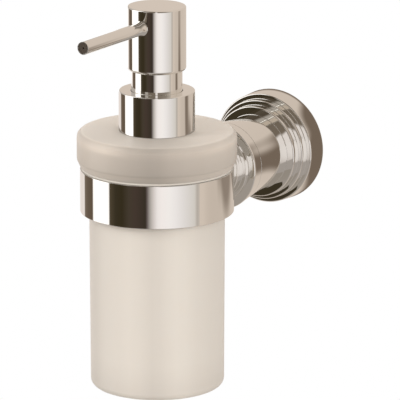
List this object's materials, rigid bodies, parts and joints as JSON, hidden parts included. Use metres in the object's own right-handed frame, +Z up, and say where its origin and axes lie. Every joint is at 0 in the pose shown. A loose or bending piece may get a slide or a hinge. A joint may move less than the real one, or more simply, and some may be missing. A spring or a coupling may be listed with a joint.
{
  "type": "wall-mounted liquid soap dispenser",
  "caption": "Wall-mounted liquid soap dispenser: frosted glass vessel in a polished ring on a stepped rosette and flared arm, with a push-down pump and straight spout.",
  "frame": {"origin": "centre of the wall plate's back face, on the wall plane, on the arm's axis", "axes": "+Y into the wall, +Z up along the vessel, +X to the right seen from the front; the dispenser reaches out along -Y"},
  "size_m": [0.0706, 0.1589, 0.1715],
  "materials": {
    "nickel": "polished nickel plate, warm grey",
    "steel": "plain stainless steel",
    "frosted_glass": "satin frosted glass",
    "clear_plastic": "natural moulded plastic",
    "soft_seal": "soft white seal",
    "dark_plastic": "dark moulded plastic"
  },
  "bodies": {
    "holder": {"wall_plate": "steel", "rosette_cover": "nickel", "rosette_grub_screw": "steel", "arm_stud": "steel", "arm_post": "nickel", "arm_end_collar": "nickel", "ring_screw": "steel", "holder_ring": "nickel", "ring_liner": "clear_plastic"},
    "vessel": {"glass_vessel": "frosted_glass"},
    "pump": {"mouth_plug": "clear_plastic", "plug_seal_lower": "soft_seal", "plug_seal_upper": "soft_seal", "collar_shell": "nickel", "guide_bush": "clear_plastic", "cylinder_gasket": "soft_seal", "pump_cylinder": "clear_plastic", "stem_guide": "clear_plastic", "inlet_cage": "clear_plastic", "return_spring": "steel", "dip_tube": "clear_plastic"},
    "inlet_valve": {"inlet_ball": "steel"},
    "plunger": {"piston_stem": "clear_plastic", "piston": "soft_seal"},
    "outlet_valve": {"outlet_ball": "steel"},
    "head": {"neck_sleeve": "nickel", "head_shell": "nickel", "actuator_core": "clear_plastic", "spout_tube": "nickel", "nozzle_tip": "dark_plastic"}
  },
  "joints": [
    {"name": "vessel_lift", "type": "slide", "parent": "holder", "child": "vessel", "axis": [0, 0, 1], "range_m": [0, 0.11]},
    {"name": "pump_lift_out", "type": "slide", "parent": "vessel", "child": "pump", "axis": [0, 0, 1], "range_m": [0, 0.115]},
    {"name": "pump_press", "type": "slide", "parent": "pump", "child": "plunger", "axis": [0, 0, -1], "range_m": [0, 0.0083], "stiffness_N_per_m": 700, "springref_m": -0.01, "deforming": ["return_spring"]},
    {"name": "head_swivel", "type": "hinge", "parent": "plunger", "child": "head", "pos_m": [0, -0.1005, 0.0623], "axis": [0, 0, 1], "continuous": true},
    {"name": "inlet_ball_lift", "type": "slide", "parent": "pump", "child": "inlet_valve", "axis": [0, 0, 1], "range_m": [0, 0.0012]},
    {"name": "outlet_ball_lift", "type": "slide", "parent": "plunger", "child": "outlet_valve", "axis": [0, 0, 1], "range_m": [0, 0.0022]}
  ]
}
